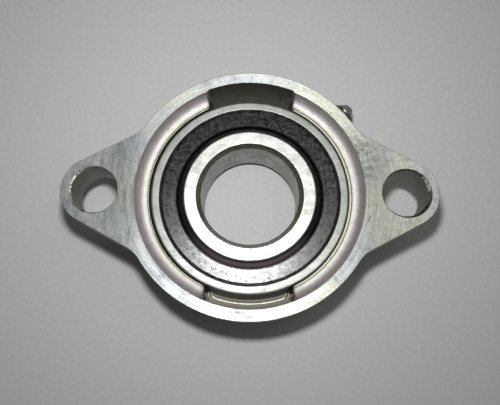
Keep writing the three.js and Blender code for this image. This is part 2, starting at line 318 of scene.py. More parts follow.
def flange_outline(inset):
    """Body circle, two ears and the fillets between them, drawn in by inset."""
    tip = EAR_TIP_R - inset
    fillet = EAR_FILLET_R + inset
    body = BODY_R - inset
    side = BOLT_X * math.cos(rad(EAR_NORMAL)) + tip
    meet = EAR_NORMAL - math.degrees(math.acos((side + fillet) / (body + fillet)))
    fx = (body + fillet) * math.cos(rad(meet))
    fy = (body + fillet) * math.sin(rad(meet))
    quarter = arc(BOLT_X, 0, tip, 0, EAR_NORMAL, 24)
    quarter += arc(fx, fy, fillet, EAR_NORMAL - 180, meet - 180, 16)
    quarter += arc(0, 0, body, meet, 90, 48)[1:]
    top = quarter + [(-x, y) for x, y in reversed(quarter[:-1])]
    return top + [(x, -y) for x, y in reversed(top[1:-1])]


def flange_plate():
    """The flange with its ears: a rounded lower edge and a broken upper one."""
    low = HEIGHT - FLANGE_THICKNESS
    rings = []
    steps = 5
    for k in range(steps + 1):
        t = rad(90 * k / steps)
        inset = FLANGE_ROUND * (1 - math.sin(t))
        rings.append((flange_outline(inset), low + FLANGE_ROUND * (1 - math.cos(t))))
    for inset, depth in TOP_BREAK:
        rings.append((flange_outline(inset), HEIGHT - depth))
    return stacked("Housing", rings)


def hub():
    """The round hub under the flange, slightly tapered."""
    corners = [
        (0, 0, 0),
        (28.9, 0, 0),
        (30.0, 0.45, 0.9),
        (30.7, 7.5, 0),
        (31.2, 9.6, 0.8),
        (31.2, 12.5, 0),
        (0, 12.5, 0),
    ]
    return spindle("hub", eased(corners), FINE)


def nipple_boss():
    root = -8
    corners = [(0, root, 0), (BOSS_R + 0.5, root, 0), (BOSS_R, -0.1, 0.5), (BOSS_R - 0.9, 0, 0), (0, 0, 0)]
    return point_out(spindle("boss", eased(corners), SMALL), NIPPLE_AZIMUTH, BOSS_FACE_R, NIPPLE_Z)


def seat_cut():
    """Spherical seat, a fine groove beside its upper lip, and the recess with its fillet, as one tool."""
    start = math.degrees(math.asin(CENTRE_Z / SEAT_R))
    lip = math.degrees(math.asin((RECESS_FLOOR_Z - CENTRE_Z) / SEAT_R))
    seat = arc(0, CENTRE_Z, SEAT_R, -start, lip, 24)
    fillet = arc(RECESS_R - RECESS_FILLET_R, RECESS_FLOOR_Z + RECESS_FILLET_R, RECESS_FILLET_R, -90, 0, 12)
    near, far = GAP_GROOVE
    bottom = RECESS_FLOOR_Z - GAP_GROOVE_DEPTH
    groove = [(seat[-1][0], RECESS_FLOOR_Z), (near, RECESS_FLOOR_Z), (near + 0.04, bottom)]
    groove += [(far - 0.04, bottom), (far, RECESS_FLOOR_Z)]
    mouth = seat[0][0]
    profile = [(0, -1), (mouth + 0.5, -1), (mouth + 0.5, 0.0), (mouth, 0.4)]
    profile += [p for p in seat[:-1] if p[1] > 0.45]
    profile += groove
    profile += fillet
    profile += [(RECESS_R, HEIGHT - 0.2), (RECESS_R + 0.06, HEIGHT - 0.08), (RECESS_R + 0.2, HEIGHT)]
    profile += [(RECESS_R + 0.2, HEIGHT + 1), (0, HEIGHT + 1)]
    return spindle("seat", profile, FINE)


def seat_lip():
    """Relieves the seat's upper lip a little off centre: the gap round the insert is widest on the left."""
    return placed_at(rod("lip", LIP_R, LIP_LOW_Z, HEIGHT, FINE), *LIP_SHIFT, 0)


def slot_loop(outer, half):
    """A loading slot's outline: straight sides, round corners, arc at the wall."""
    rim, side = outer - SLOT_CORNER_R, half - SLOT_CORNER_R
    bend = 90 - math.degrees(math.asin(side / rim))
    right = arc(side, rim * math.sin(rad(bend)), SLOT_CORNER_R, 0, bend, 8)
    roof = arc(0, 0, outer, bend, 180 - bend, 40)[1:-1]
    left = [(-x, y) for x, y in reversed(right)]
    return [(half, SLOT_Y)] + right + roof + left + [(-half, SLOT_Y)]


def slot_cut(turn, floor_z, foot_r, mouth_r):
    """A pocket with a rounded foot, a wall that coves out and sides that roll over into the recess."""
    foot = SLOT_HALF_WIDTH - 0.3
    rings = []
    steps = 4
    for k in range(steps + 1):
        t = rad(90 * k / steps)
        inset = SLOT_FOOT_ROUND * (1 - math.sin(t))
        z = floor_z + SLOT_FOOT_ROUND * (1 - math.cos(t))
        rings.append((slot_loop(foot_r - inset, foot - inset), z))
    for z, flare in SLOT_FLARE:
        if z > floor_z + SLOT_FOOT_ROUND:
            share = 1 - (1 - min(1.0, (z - floor_z) / (HEIGHT - floor_z))) ** 2
            outer = foot_r + (mouth_r - foot_r) * share
            rings.append((slot_loop(outer, SLOT_HALF_WIDTH + flare), z))
    return move(stacked("slot", rings), Matrix.Rotation(turn, 4, "Z"))


def bolt_hole(x, shift, reach):
    """A cored hole with a shallow countersink; shift moves the countersink off the hole's own centre."""
    low, clear = HEIGHT - FLANGE_THICKNESS, HEIGHT + 1
    wide = BOLT_HOLE_R + 0.5
    corners = [(0, low - 1), (wide, low - 1), (wide, low), (BOLT_HOLE_R, low + 0.5)]
    corners += [(BOLT_HOLE_R - 0.05, clear), (0, clear)]
    hole = placed_at(spindle("hole", corners, MEDIUM), x, 0, 0)
    mouth = BOLT_HOLE_R + reach
    bottom = HEIGHT - 2 * reach * SINK_SLOPE
    cone = [(0, bottom), (mouth - 2 * reach, bottom), (mouth, HEIGHT), (mouth, clear), (0, clear)]
    sink = placed_at(spindle("sink", cone, MEDIUM), x + shift, 0, 0)
    return [hole, sink]


def nipple_hole():
    """Threaded hole for the nipple and the narrow passage behind it, through to the seat."""
    thread = rod("thread", THREAD_HOLE_R, -4.7, 2, SMALL)
    passage = rod("passage", PASSAGE_R, -8, -4.2, 32)
    return [point_out(o, NIPPLE_AZIMUTH, BOSS_FACE_R, NIPPLE_Z) for o in (thread, passage)]


def nick(x, y, length, width, depth, turn):
    """A small gouge: a flattened ball sunk into the mounting face or its edge."""
    obj = spindle("nick", half_circle(1, 8), 16)
    size = Matrix.Diagonal((length / 2, width / 2, depth, 1))
    place = Matrix.Translation(Vector((x, y, HEIGHT)) * MM) @ Matrix.Rotation(rad(turn), 4, "Z")
    return move(obj, place @ size)


STAIN_CENTRE = (27.0, 8.5, HEIGHT)
NICKS = [  # x, y, length, width, depth, turn
    (29.1, -6.5, 1.5, 0.42, 0.4, 68),
    (-7.5, 31.3, 1.6, 0.5, 0.25, 8),
    (3.8, 31.45, 1.1, 0.4, 0.25, -5),
    (-45.6, 2.1, 0.8, 0.25, 0.1, 60),
    (43.5, -6.3, 0.9, 0.25, 0.1, -40),
    (-20.5, -23.9, 0.9, 0.25, 0.12, -50),
]


def build_housing():
    """Flange, hub and boss joined, then everything that is cut into them."""
    body = flange_plate()
    boolean(body, hub(), "UNION")
    boolean(body, nipple_boss(), "UNION")
    cuts = [seat_cut(), seat_lip()]
    cuts += [slot_cut(math.pi * i, SLOT_FLOOR_Z[i], SLOT_FOOT_R[i], SLOT_MOUTH_R[i]) for i in (0, 1)]
    for sink in SINKS:
        cuts += bolt_hole(*sink)
    cuts += nipple_hole()
    cuts += [nick(*n) for n in NICKS]
    for cut in cuts:
        boolean(body, cut, "DIFFERENCE")
    smooth(body, 16)
    add_edge_round(body, EDGE_BEVEL)
    return body


def add_edge_round(obj, width):
    """A narrow rounded bevel along every edge that isn't part of a smooth surface."""
    bevel = obj.modifiers.new("edge", "BEVEL")
    bevel.width = width * MM
    bevel.segments = 2
    bevel.limit_method = "ANGLE"
    bevel.angle_limit = rad(18)
    bevel.harden_normals = True


# ---------------------------------------------------------------- insert

def outer_ring():
    """Spherical outside with a grease groove and hole, a ball track, and a step on each side for a seal."""
    edge = HALF_WIDTH - 0.35
    start = math.degrees(math.asin(edge / SPHERE_R))
    groove = [(25.59, -4.6, 0), (25.2, -4.5, 0.1), (25.5, -3.3, 0.1), (25.8, -3.2, 0)]
    outside = arc(0, 0, SPHERE_R, -start, start, 48)
    below = [p for p in outside if p[1] < -4.7]
    above = [p for p in outside if p[1] > -3.1]
    race_r = PITCH_R + BALL_R + RACE_GAP - GROOVE_R
    shoulder = math.degrees(math.acos((OUTER_SHOULDER_R - race_r) / GROOVE_R))
    face = [
        (24.68, HALF_WIDTH, 0.3),
        (22.9, HALF_WIDTH, 0.12),
        (22.75, 6.9, 0.1),
        (23.55, 6.6, 0.08),
        (23.55, 5.75, 0.08),
        (OUTER_SHOULDER_R, 5.35, 0.12),
    ]
    race = sharp(arc(race_r, 0, GROOVE_R, shoulder, -shoulder, 28))
    corners = sharp(below) + groove + sharp(above) + face + race + mirrored(face)
    ring = turned("OuterRing", eased(corners, 3), FINE, CENTRE_Z)
    hole = point_out(rod("hole", 0.7, -6, 2, 24), NIPPLE_AZIMUTH, SPHERE_R, CENTRE_Z - OIL_HOLE_DROP)
    boolean(ring, hole, "DIFFERENCE")
    smooth(ring, 32)
    return flat_faces(ring)


def inner_ring():
    """Chamfered bore, flat faces, a step for each seal's lip, and a ball track."""
    race_r = PITCH_R - BALL_R - RACE_GAP + GROOVE_R
    shoulder = math.degrees(math.acos((race_r - INNER_SHOULDER_R) / GROOVE_R))
    race = arc(race_r, 0, GROOVE_R, 180 - shoulder, 180 + shoulder, 28)
    upper = [
        (BORE_R, 6.4, 0.15),
        (CHAMFER_R, HALF_WIDTH, 0.12),
        (16.61, HALF_WIDTH, 0.18),
        (16.85, 7.2, 0.15),
        (16.85, 5.75, 0.08),
        (16.45, 5.5, 0.08),
        (16.45, 4.75, 0.08),
        (INNER_SHOULDER_R, 4.45, 0.1),
    ]
    corners = upper + sharp(race) + mirrored(upper)
    return flat_faces(turned("InnerRing", eased(corners, 3), FINE, CENTRE_Z))


def seal(name, side):
    """Moulded seal: a lip against the inner ring, a flat face, and a bead in the outer ring's groove."""
    corners = [
        (16.7, 4.95, 0.1),
        (18.2, 5.3, 0.2),
        (18.7, 5.98, 0.1),
        (22.5, 5.98, 0.1),
        (22.75, 5.85, 0.1),
        (23.35, 6.0, 0.15),
        (23.35, 6.4, 0.1),
        (22.8, 6.42, 0.06),
        (22.68, 6.78, 0.06),
        (22.56, 6.82, 0.05),
        (22.44, 6.58, 0.05),
        (22.3, 6.86, 0.08),
        (22.1, 6.9, 0.05),
        (18.62, 6.9, 0.2),
        (18.25, 6.6, 0.25),
        (18.05, 5.85, 0.15),
        (17.0, 5.6, 0.1),
        (16.7, 5.35, 0.08),
    ]
    profile = [(r, z * side) for r, z in eased(corners, 3)]
    return flat_faces(turned(name, profile, FINE, CENTRE_Z))


def seal_washer(name, side):
    """The steel washer that stiffens a seal, behind its face."""
    corners = [(18.95, 5.55, 0.08), (22.0, 5.55, 0.1), (22.3, 5.9, 0.05), (18.95, 5.9, 0.08)]
    profile = [(r, z * side) for r, z in eased(corners, 2)]
    return turned(name, profile, MEDIUM, CENTRE_Z)


def arch_height(s, radius, flat):
    """Height of the pressed ribbon at distance s from a ball's radial line."""
    reach = radius * radius - s * s
    return max(flat, math.sqrt(reach)) if reach > 0 else flat


def cage_half(name, side):
    """One pressed ribbon: a closed strip that arches over each ball and lies flat between them."""
    edge = 0.18
    spacing = 2 * math.pi / BALL_COUNT
    section = [
        (CAGE_IN_R + edge, 0), (CAGE_OUT_R - edge, 0), (CAGE_OUT_R, edge), (CAGE_OUT_R, 1 - edge),
        (CAGE_OUT_R - edge, 1), (CAGE_IN_R + edge, 1), (CAGE_IN_R, 1 - edge), (CAGE_IN_R, edge),
    ]
    verts, faces = [], []
    for i in range(CAGE_STEPS):
        a = 2 * math.pi * i / CAGE_STEPS
        nearest = round(a / spacing) * spacing
        for r, share in section:
            s = r * math.sin(a - nearest)
            low = arch_height(s, CAGE_POCKET_R, CAGE_GAP)
            high = arch_height(s, CAGE_POCKET_R + CAGE_THICKNESS, CAGE_GAP + CAGE_THICKNESS)
            z = low + (high - low) * share
            verts.append((r * math.cos(a), r * math.sin(a), CENTRE_Z + side * z))
    count = len(section)
    for i in range(CAGE_STEPS):
        here, there = i * count, (i + 1) % CAGE_STEPS * count
        for j in range(count):
            k = (j + 1) % count
            faces.append((here + j, there + j, there + k, here + k))
    obj = new_object(name, verts, faces)
    smooth(obj, 40)
    return obj


def rivet(name, azimuth):
    """A cage rivet with a domed head on each side."""
    seat = CAGE_GAP + CAGE_THICKNESS
    dome = [(1.0, seat, 0), (0.95, seat + 0.22, 0.1), (0.6, seat + 0.38, 0.2), (0, seat + 0.42, 0)]
    upper = eased([(0.55, 0, 0), (0.55, seat, 0)] + dome, 2)
    lower = [(r, -z) for r, z in reversed(upper[1:])]
    obj = spindle(name, lower + upper[1:], 20)
    a = rad(azimuth)
    r = (CAGE_IN_R + CAGE_OUT_R) / 2
    return placed_at(obj, r * math.cos(a), r * math.sin(a), CENTRE_Z)


def sphere(name, radius, centre):
    """A smooth ball; centre is in metres."""
    return move(spindle(name, half_circle(radius, 28), 48), Matrix.Translation(centre))


# ---------------------------------------------------------------- grease nipple

def nipple_body():
    """A grease nipple: a hollow threaded stem with a coned head, and a hexagon round it."""
    corners = [
        (1.05, -4.3, 0.05),
        (2.6, -4.3, 0.1),
        (2.9, -4.0, 0.1),
        (2.9, 3.2, 0.0),
        (2.35, 3.9, 0.3),
        (2.3, 4.45, 0.3),
        (3.2, 5.1, 0.25),
        (3.25, 5.5, 0.25),
        (1.7, 7.2, 0.2),
        (1.5, 7.7, 0.15),
        (0.75, 7.7, 0.1),
        (0.75, 7.0, 0.05),
        (1.5, 6.2, 0.05),
        (1.5, -3.9, 0.05),
        (1.05, -4.05, 0.05),
    ]
    stem = turned("stem", eased(corners), SMALL)
    corner = HEX_APOTHEM / math.cos(math.pi / 6)
    hexagon = arc(0, 0, corner, 0, 300, 5)
    nut = stacked("NippleBody", [(hexagon, z) for z in (HEX_LOW, HEX_HIGH)])
    limit = [
        (0, -1), (corner - 0.35, -1), (corner - 0.35, HEX_LOW), (corner, 0.5),
        (corner, 2.75), (corner - 0.65, HEX_HIGH), (0, HEX_HIGH),
    ]
    boolean(nut, spindle("limit", limit, 96), "INTERSECT")
    boolean(nut, rod("clear", 2.5, -1, 4, SMALL), "DIFFERENCE")
    boolean(nut, stem, "UNION")
    smooth(nut, 30)
    return point_out(nut, NIPPLE_AZIMUTH, BOSS_FACE_R, NIPPLE_Z)


def nipple_spring():
    """The coil spring behind the check ball, a round wire wound along the nipple's axis."""
    turns, coil, wire = 6, 1.05, 0.17
    low = -3.7
    high = low + SPRING_LENGTH
    steps, sides = turns * 28, 10
    verts, faces = [], []
    for i in range(steps + 1):
        a = 2 * math.pi * turns * i / steps
        z = low + (high - low) * i / steps
        for j in range(sides):
            b = 2 * math.pi * j / sides
            r = coil + wire * math.cos(b)
            verts.append((r * math.cos(a), r * math.sin(a), z + wire * math.sin(b)))
    for i in range(steps):
        for j in range(sides):
            k = (j + 1) % sides
            faces.append((i * sides + j, i * sides + k, (i + 1) * sides + k, (i + 1) * sides + j))
    faces.append(tuple(range(sides)))
    faces.append(tuple(range(steps * sides, (steps + 1) * sides)))
    obj = new_object("NippleSpring", verts, faces)
    smooth(obj, 40)
    return point_out(obj, NIPPLE_AZIMUTH, BOSS_FACE_R, NIPPLE_Z)


# ---------------------------------------------------------------- material helpers

class Look:
    """A node material, built up by short calls. place is the position in millimetres, in the CAD frame."""

    def __init__(self, name):
        self.material = bpy.data.materials.new(name)
        self.material.use_nodes = True
        self.tree = self.material.node_tree
        self.shader = self.tree.nodes["Principled BSDF"]
        coords = self.tree.nodes.new("ShaderNodeTexCoord")
        self.place = self.vector("MULTIPLY", coords.outputs["Object"], (1000, 1000, 1000))

    def node(self, kind, **settings):
        made = self.tree.nodes.new(kind)
        for key, value in settings.items():
            setattr(made, key, value)
        return made

    def link(self, value, socket):
        if isinstance(value, bpy.types.NodeSocket):
            self.tree.links.new(value, socket)
        else:
            socket.default_value = value

    def vector(self, operation, a, b=None):
        made = self.node("ShaderNodeVectorMath", operation=operation)
        self.link(a, made.inputs[0])
        if b is not None:
            self.link(b, made.inputs[1])
        return made.outputs["Value"] if operation == "LENGTH" else made.outputs["Vector"]

    def math(self, operation, a, b=0.5, c=0.5):
        made = self.node("ShaderNodeMath", operation=operation)
        for value, socket in zip((a, b, c), made.inputs):
            self.link(value, socket)
        return made.outputs[0]

    def split(self, vector):
        made = self.node("ShaderNodeSeparateXYZ")
        self.link(vector, made.inputs[0])
        return made.outputs

    def combine(self, x, y, z):
        made = self.node("ShaderNodeCombineXYZ")
        for value, socket in zip((x, y, z), made.inputs):
            self.link(value, socket)
        return made.outputs[0]

    def xyz(self):
        return self.split(self.place)[:3]

    def radius(self):
        """Distance from the Z axis."""
        x, y, _ = self.xyz()
        return self.vector("LENGTH", self.combine(x, y, 0.0))

    def size(self, value):
        return self.math("ABSOLUTE", value)

    def noise(self, where, scale, detail=3.0, rough=0.55):
        made = self.node("ShaderNodeTexNoise")
        self.link(where, made.inputs["Vector"])
        made.inputs["Scale"].default_value = scale
        made.inputs["Detail"].default_value = detail
        made.inputs["Roughness"].default_value = rough
        return made.outputs["Fac"]

    def between(self, value, low, high, to_low=0.0, to_high=1.0):
        """value mapped from low..high to to_low..to_high, clamped."""
        made = self.node("ShaderNodeMapRange")
        for got, socket in zip((value, low, high, to_low, to_high), made.inputs):
            self.link(got, socket)
        return made.outputs[0]

    def mix(self, share, a, b):
        made = self.node("ShaderNodeMix", data_type="RGBA")
        self.link(share, made.inputs[0])
        self.link(a if isinstance(a, bpy.types.NodeSocket) else (*a, 1), made.inputs[6])
        self.link(b if isinstance(b, bpy.types.NodeSocket) else (*b, 1), made.inputs[7])
        return made.outputs[2]

    def bump(self, height, strength, distance_mm, after=None):
        made = self.node("ShaderNodeBump")
        made.inputs["Strength"].default_value = strength
        made.inputs["Distance"].default_value = distance_mm * MM
        self.link(height, made.inputs["Height"])
        if after is not None:
            self.link(after, made.inputs["Normal"])
        return made.outputs["Normal"]

    def set(self, **sockets):
        names = {"color": "Base Color", "metal": "Metallic", "rough": "Roughness", "normal": "Normal",
                 "specular": "Specular IOR Level", "turn": "Anisotropic", "tangent": "Tangent"}
        for key, value in sockets.items():
            if key == "color" and not isinstance(value, bpy.types.NodeSocket):
                value = (*value, 1)
            self.link(value, self.shader.inputs[names[key]])

    def rings(self, across, along):
        """Coordinates for fine marks that run round Z: dense across the radius, slow along it."""
        x, y, z = self.xyz()
        return self.combine(
            self.math("MULTIPLY", self.radius(), across),
            self.math("MULTIPLY", x, along),
            self.math("MULTIPLY_ADD", y, along, z),
        )

    def across_marks(self):
        """Direction straight out from Z, across marks that run round it."""
        x, y, _ = self.xyz()
        made = self.node("ShaderNodeVectorTransform", vector_type="VECTOR")
        made.convert_from, made.convert_to = "OBJECT", "WORLD"
        self.link(self.combine(x, y, 0.0), made.inputs[0])
        return self.vector("NORMALIZE", made.outputs[0])

    def scratches(self, angle, density, fine, thin):
        """Thin straight scratches in one direction, 0 to 1."""
        turn = self.node("ShaderNodeMapping")
        self.link(self.place, turn.inputs["Vector"])
        turn.inputs["Rotation"].default_value = (0, 0, rad(angle))
        turn.inputs["Scale"].default_value = (density, density * fine, density * 0.4)
        value = self.noise(turn.outputs[0], 1.0, 1.0, 0.4)
        return self.between(value, thin, thin + 0.04)


# ---------------------------------------------------------------- materials

def machined_look():
    """Turned face of the housing: round tool marks, green and blue tints, dull smudges, fine grit.

    The left ear has darker streaks along Y and painted shade over its outer part, the necks carry painted
    shade, and a stain lies near the right ear.
    """
    look = Look("machined_housing")
    fine = look.noise(look.rings(9.0, 0.12), 1.0, 4.0, 0.8)
    broad = look.noise(look.rings(1.5, 0.05), 1.0, 3.0, 0.6)
    patches = look.noise(look.place, 0.07, 2.0, 0.5)
    smudge = look.noise(look.place, 0.22, 6.0, 0.68)
    grit = look.noise(look.place, 3.2, 3.0, 0.7)
    marks = look.math("ADD", look.math("MULTIPLY", fine, 0.55), look.math("MULTIPLY", broad, 0.45))
    tint = look.mix(look.between(patches, 0.40, 0.60), (0.42, 0.43, 0.33), (0.32, 0.35, 0.40))
    worn = look.mix(look.between(grit, 0.35, 0.65), tint, (0.44, 0.445, 0.41))
    banded = look.mix(look.between(marks, 0.44, 0.62, 0.0, 0.6), worn, (0.13, 0.15, 0.16))
    dull = look.mix(look.between(smudge, 0.55, 0.72, 0.0, 0.4), banded, (0.10, 0.11, 0.105))
    x, _, _ = look.xyz()
    streaks = look.noise(look.vector("MULTIPLY", look.place, (1.2, 0.22, 1.0)), 1.0, 5.0, 0.7)
    ear = look.math("MULTIPLY", look.between(x, -25.0, -29.0), look.between(streaks, 0.45, 0.62))
    dull = look.mix(look.math("MULTIPLY", ear, 0.6), dull, (0.08, 0.09, 0.115))
    # Painted shade: the left ear darkens outwards from x = -26.
    dull = look.mix(look.between(x, -26.0, -34.0, 0.0, 0.4), dull, (0.11, 0.12, 0.13))
    # Painted shade where the ears meet the body.
    from_neck = look.size(look.math("SUBTRACT", look.size(x), BODY_R))
    dull = look.mix(look.between(from_neck, 5.0, 1.5, 0.0, 0.3), dull, (0.11, 0.115, 0.10))
    mottle = look.noise(look.place, 0.9, 6.0, 0.75)
    away = look.vector("LENGTH", look.vector("SUBTRACT", look.place, STAIN_CENTRE))
    patch = look.math("MULTIPLY", look.between(away, 9.0, 2.0), look.between(mottle, 0.42, 0.56))
    dull = look.mix(look.math("MULTIPLY", patch, 0.8), dull, (0.09, 0.09, 0.08))
    dull = look.mix(look.between(mottle, 0.5, 0.68, 0.0, 0.5), dull, (0.12, 0.125, 0.12))
    dull = look.mix(look.between(grit, 0.5, 0.68, 0.0, 0.7), dull, (0.10, 0.105, 0.095))
    smeared = look.between(smudge, 0.4, 0.7, 0.0, 0.12)
    rough = look.math("ADD", look.between(marks, 0.35, 0.65, 0.36, 0.46), smeared)
    normal = look.bump(grit, 0.35, 0.02, look.bump(marks, 0.5, 0.03))
    look.set(color=dull, metal=1.0, rough=rough, normal=normal, turn=0.75, tangent=look.across_marks())
    return look.material


def cast_look():
    """As-cast skin of hub, ears and slots: matt olive grey with a fine grain and faint vertical runs.

    Inside the slots painted shade darkens the walls towards the mouth, more in the slot towards +Y, and the
    slot towards -Y gets a paler, warmer painted light.
    """
    look = Look("cast_housing_skin")
    grain = look.noise(look.place, 2.6, 5.0, 0.65)
    lumps = look.noise(look.place, 0.28, 3.0, 0.5)
    runs = look.noise(look.vector("MULTIPLY", look.place, (1.3, 1.3, 0.12)), 1.0, 3.0, 0.6)
    tone = look.mix(look.between(grain, 0.3, 0.7), (0.235, 0.24, 0.205), (0.395, 0.405, 0.35))
    tone = look.mix(look.between(lumps, 0.35, 0.7, 0.0, 0.7), tone, (0.26, 0.25, 0.215))
    tone = look.mix(look.between(runs, 0.45, 0.7, 0.0, 0.4), tone, (0.2, 0.2, 0.18))
    _, y, z = look.xyz()
    inside = look.between(look.radius(), RECESS_R + 0.55, RECESS_R + 0.45)
    # Painted light: the slot towards -Y is made paler and warmer.
    low_slot_light = look.math("MULTIPLY", inside, look.between(y, -15.0, -20.0))
    tone = look.mix(look.math("MULTIPLY", low_slot_light, 0.85), tone, (0.90, 0.83, 0.78))
    # Painted shade on the slot walls, rising towards the mouth and stronger in the slot towards +Y.
    slot_wall_shade = look.between(z, 11.0, 18.5, 0.0, look.between(y, -20.0, 20.0, 0.4, 0.75))
    tone = look.mix(look.math("MULTIPLY", inside, slot_wall_shade), tone, (0.05, 0.048, 0.035))
    normal = look.bump(grain, 0.5, 0.06)
    normal = look.bump(runs, 0.4, 0.2, look.bump(lumps, 0.4, 0.25, normal))
    look.set(color=tone, metal=0.8, rough=look.between(grain, 0.3, 0.7, 0.42, 0.62), normal=normal)
    return look.material


def recess_look():
    """Bored recess and seat: coarse satin with soft round tool marks, warm, with painted shade next to the
    slots.
    """
    look = Look("bored_recess")
    x, y, z = look.xyz()
    radius = look.radius()
    across, up = look.math("MULTIPLY", radius, 5.0), look.math("MULTIPLY", z, 5.0)
    tool = look.combine(across, up, look.math("MULTIPLY", x, 0.1))
    marks = look.noise(tool, 1.0, 3.0, 0.6)
    grit = look.noise(look.place, 3.4, 3.0, 0.7)
    haze = look.noise(look.place, 0.5, 4.0, 0.6)
    tone = look.mix(look.between(radius, 25.9, 26.8), (0.50, 0.51, 0.42), (0.56, 0.52, 0.53))
    tone = look.mix(look.between(haze, 0.45, 0.7, 0.0, 0.6), tone, (0.40, 0.39, 0.35))
    tone = look.mix(look.between(grit, 0.46, 0.66, 0.0, 0.6), tone, (0.22, 0.21, 0.19))
    # Painted shade on the bored recess next to each slot.
    slot_side_shade = look.between(look.size(x), *SLOT_SIDE_SHADE_X)
    slot_side_shade = look.math("MULTIPLY", slot_side_shade, look.between(look.size(y), SLOT_Y, SLOT_Y + 1))
    tone = look.mix(look.math("MULTIPLY", slot_side_shade, 0.9), tone, (0.06, 0.06, 0.045))
    rough = look.between(marks, 0.3, 0.7, 0.58, 0.7)
    normal = look.bump(grit, 0.4, 0.03, look.bump(marks, 0.3, 0.02))
    look.set(color=tone, metal=1.0, rough=rough, normal=normal)
    return look.material


def slot_floor_look():
    """Slot floor: plain tone along both edges, with painted shade between them and towards the ends."""
    look = Look("slot_floor")
    grime = look.noise(look.place, 1.9, 4.0, 0.6)
    x, _, _ = look.xyz()
    radius = look.radius()
    # Painted shade: the flat middle of the floor and its ends are darkened, and its edges keep the plain
    # tone.
    middle = look.math("MULTIPLY", look.between(radius, 26.3, 26.42), look.between(radius, 26.75, 26.6))
    ends = look.between(look.size(x), 8.3, 9.5)
    floor_shade = look.math("MAXIMUM", middle, ends)
    tone = look.mix(look.between(grime, 0.35, 0.7), (0.52, 0.51, 0.42), (0.38, 0.38, 0.31))
    tone = look.mix(floor_shade, tone, (0.075, 0.08, 0.05))
    rough = look.between(grime, 0.3, 0.7, 0.42, 0.6)
    look.set(color=tone, metal=0.8, rough=rough, normal=look.bump(grime, 0.3, 0.04))
    return look.material


def sink_look():
    """Countersinks, dull and blotched with chatter marks; the left one has a painted glint in places."""
    look = Look("countersink")
    chatter = look.noise(look.place, 1.6, 3.0, 0.6)
    x, _, _ = look.xyz()
    left = look.between(x, 1.0, -1.0)
    dull = look.mix(look.between(chatter, 0.4, 0.6), (0.08, 0.08, 0.065), (0.24, 0.235, 0.21))
    # Painted glint: the left countersink is brightened in patches.
    painted_glint = look.math("MULTIPLY", left, look.between(chatter, 0.36, 0.56))
    tone = look.mix(painted_glint, dull, (0.6, 0.58, 0.49))
    rough = look.between(chatter, 0.3, 0.7, 0.26, 0.38)
    look.set(color=tone, metal=1.0, rough=rough, normal=look.bump(chatter, 0.3, 0.05))
    return look.material


def ring_look(name, tone_low, tone_high, rough_low, rough_high):
    """Ground bearing steel: very fine round grinding marks, crossing scratches, dull spots."""
    look = Look(name)
    marks = look.noise(look.rings(14.0, 0.35), 1.0, 3.0, 0.6)
    haze = look.noise(look.place, 0.28, 5.0, 0.68)
    lines = look.math("MAXIMUM", look.scratches(68, 0.4, 30, 0.60), look.scratches(12, 0.35, 28, 0.61))
    spots = look.between(look.noise(look.place, 1.9, 1.0, 0.3), 0.7, 0.76)
    grit = look.noise(look.place, 3.8, 2.0, 0.6)
    tone = look.mix(look.between(haze, 0.35, 0.65), tone_low, tone_high)
    tone = look.mix(look.between(grit, 0.45, 0.7, 0.0, 0.35), tone, (0.2, 0.2, 0.19))
    tone = look.mix(look.math("MULTIPLY", lines, 0.35), tone, (0.18, 0.18, 0.17))
    tone = look.mix(look.math("MULTIPLY", spots, 0.6), tone, (0.12, 0.12, 0.1))
    ground = look.between(marks, 0.3, 0.7, rough_low, rough_high)
    rough = look.math("ADD", ground, look.math("MULTIPLY", lines, 0.12))
    normal = look.bump(grit, 0.2, 0.015, look.bump(marks, 0.25, 0.008))
    look.set(color=tone, metal=1.0, rough=rough, normal=normal, turn=0.35, tangent=look.across_marks())
    return look.material


def chamfer_look():
    """Unground chamfers of the bore: dark with oil and heat, lighter towards -Y."""
    look = Look("bore_chamfer")
    grime = look.noise(look.place, 1.4, 4.0, 0.65)
    tone = look.mix(look.between(grime, 0.35, 0.7), (0.13, 0.13, 0.10), (0.25, 0.25, 0.21))
    _, y, _ = look.xyz()
    # Lighter towards -Y.
    tone = look.mix(look.between(y, -5.0, -12.0), tone, (0.62, 0.58, 0.58))
    rough = look.between(grime, 0.3, 0.7, 0.3, 0.45)
    look.set(color=tone, metal=1.0, rough=rough, normal=look.bump(grime, 0.2, 0.02))
    return look.material


def gap_shade_look():
    """Painted shade: steel and housing walls made black in the gap round the insert."""
    look = Look("painted_gap_shade")
    grime = look.noise(look.place, 1.7, 4.0, 0.6)
    tone = look.mix(look.between(grime, 0.4, 0.7), (0.004, 0.004, 0.004), (0.05, 0.046, 0.04))
    rough = look.between(grime, 0.3, 0.7, 0.35, 0.6)
    look.set(color=tone, metal=0.3, rough=rough, normal=look.bump(grime, 0.3, 0.03))
    return look.material


